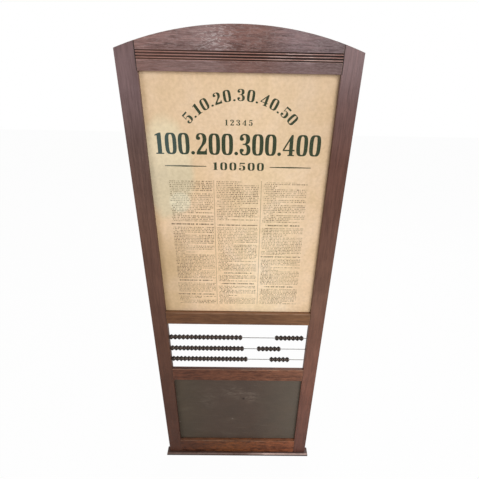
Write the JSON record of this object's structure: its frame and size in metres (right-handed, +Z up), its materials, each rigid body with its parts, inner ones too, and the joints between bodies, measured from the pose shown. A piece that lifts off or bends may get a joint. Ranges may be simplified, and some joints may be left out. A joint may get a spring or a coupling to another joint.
{
  "type": "billiard scoreboard",
  "caption": "Tall wall-hung billiard scoreboard: an arched wooden frame with a printed sheet, a window of beads that slide on wires, and a writing slate.",
  "frame": {"origin": "midway between the two hanging holes, in the plane of the frame's back", "axes": "+X to the right as one faces the board, +Y into the wall behind it, +Z up"},
  "size_m": [0.625, 0.0325, 1.6504],
  "materials": {
    "frame_wood": "waxed, satin",
    "bead_wood": "dark, polished",
    "deal_board": "bare, aged",
    "printed_paper": "matt, yellowed",
    "slate": "matt, chalk-smeared",
    "bright_steel": "worn"
  },
  "bodies": {
    "root": {"left_stile": "frame_wood", "right_stile": "frame_wood", "crest_rail": "frame_wood", "upper_mid_rail": "frame_wood", "lower_mid_rail": "frame_wood", "bottom_rail": "frame_wood", "base_plate": "frame_wood", "rules_sheet": "printed_paper", "sheet_backboard": "deal_board", "slate_panel": "slate", "panel_sprigs": "bright_steel", "base_screws": "bright_steel", "hanger_screws": "bright_steel", "hanger_plate_left": "bright_steel", "hanger_plate_right": "bright_steel", "top_row_wire": "bright_steel", "middle_row_wire": "bright_steel", "bottom_row_wire": "bright_steel"},
    "top_row_parked_group": {"top_row_parked_beads": "bead_wood"},
    "top_row_next_bead": {"top_row_bead_18": "bead_wood"},
    "top_row_scored_group": {"top_row_bead_20": "bead_wood", "top_row_bead_21": "bead_wood", "top_row_bead_22": "bead_wood", "top_row_bead_23": "bead_wood", "top_row_bead_24": "bead_wood"},
    "top_row_first_scored_bead": {"top_row_bead_19": "bead_wood"},
    "top_row_last_scored_bead": {"top_row_bead_25": "bead_wood"},
    "middle_row_parked_group": {"middle_row_parked_beads": "bead_wood"},
    "middle_row_next_bead": {"middle_row_bead_19": "bead_wood"},
    "middle_row_scored_group": {"middle_row_bead_21": "bead_wood", "middle_row_bead_22": "bead_wood", "middle_row_bead_23": "bead_wood", "middle_row_bead_24": "bead_wood"},
    "middle_row_first_scored_bead": {"middle_row_bead_20": "bead_wood"},
    "middle_row_last_scored_bead": {"middle_row_bead_25": "bead_wood"},
    "bottom_row_parked_group": {"bottom_row_parked_beads": "bead_wood"},
    "bottom_row_next_bead": {"bottom_row_bead_20": "bead_wood"},
    "bottom_row_scored_group": {"bottom_row_bead_22": "bead_wood", "bottom_row_bead_23": "bead_wood", "bottom_row_bead_24": "bead_wood"},
    "bottom_row_first_scored_bead": {"bottom_row_bead_21": "bead_wood"},
    "bottom_row_last_scored_bead": {"bottom_row_bead_25": "bead_wood"}
  },
  "joints": [
    {"name": "top_row_parked_group_slide", "type": "slide", "parent": "root", "child": "top_row_parked_group", "axis": [1, 0, 0], "range_m": [0, 0.014]},
    {"name": "top_row_next_bead_slide", "type": "slide", "parent": "top_row_parked_group", "child": "top_row_next_bead", "axis": [1, 0, 0], "range_m": [0, 0.104]},
    {"name": "top_row_scored_group_slide", "type": "slide", "parent": "root", "child": "top_row_scored_group", "axis": [1, 0, 0], "range_m": [-0.014, 0.004]},
    {"name": "top_row_first_scored_bead_slide", "type": "slide", "parent": "top_row_scored_group", "child": "top_row_first_scored_bead", "axis": [1, 0, 0], "range_m": [-0.104, 0]},
    {"name": "top_row_last_scored_bead_slide", "type": "slide", "parent": "top_row_scored_group", "child": "top_row_last_scored_bead", "axis": [1, 0, 0], "range_m": [0, 0.0084]},
    {"name": "middle_row_parked_group_slide", "type": "slide", "parent": "root", "child": "middle_row_parked_group", "axis": [1, 0, 0], "range_m": [0, 0.014]},
    {"name": "middle_row_next_bead_slide", "type": "slide", "parent": "middle_row_parked_group", "child": "middle_row_next_bead", "axis": [1, 0, 0], "range_m": [0, 0.0339]},
    {"name": "middle_row_scored_group_slide", "type": "slide", "parent": "root", "child": "middle_row_scored_group", "axis": [1, 0, 0], "range_m": [-0.014, 0.014]},
    {"name": "middle_row_first_scored_bead_slide", "type": "slide", "parent": "middle_row_scored_group", "child": "middle_row_first_scored_bead", "axis": [1, 0, 0], "range_m": [-0.0339, 0]},
    {"name": "middle_row_last_scored_bead_slide", "type": "slide", "parent": "middle_row_scored_group", "child": "middle_row_last_scored_bead", "axis": [1, 0, 0], "range_m": [0, 0.0782]},
    {"name": "bottom_row_parked_group_slide", "type": "slide", "parent": "root", "child": "bottom_row_parked_group", "axis": [1, 0, 0], "range_m": [0, 0.014]},
    {"name": "bottom_row_next_bead_slide", "type": "slide", "parent": "bottom_row_parked_group", "child": "bottom_row_next_bead", "axis": [1, 0, 0], "range_m": [0, 0.0687]},
    {"name": "bottom_row_scored_group_slide", "type": "slide", "parent": "root", "child": "bottom_row_scored_group", "axis": [1, 0, 0], "range_m": [-0.014, 0.014]},
    {"name": "bottom_row_first_scored_bead_slide", "type": "slide", "parent": "bottom_row_scored_group", "child": "bottom_row_first_scored_bead", "axis": [1, 0, 0], "range_m": [-0.0687, 0]},
    {"name": "bottom_row_last_scored_bead_slide", "type": "slide", "parent": "bottom_row_scored_group", "child": "bottom_row_last_scored_bead", "axis": [1, 0, 0], "range_m": [0, 0.0427]}
  ]
}
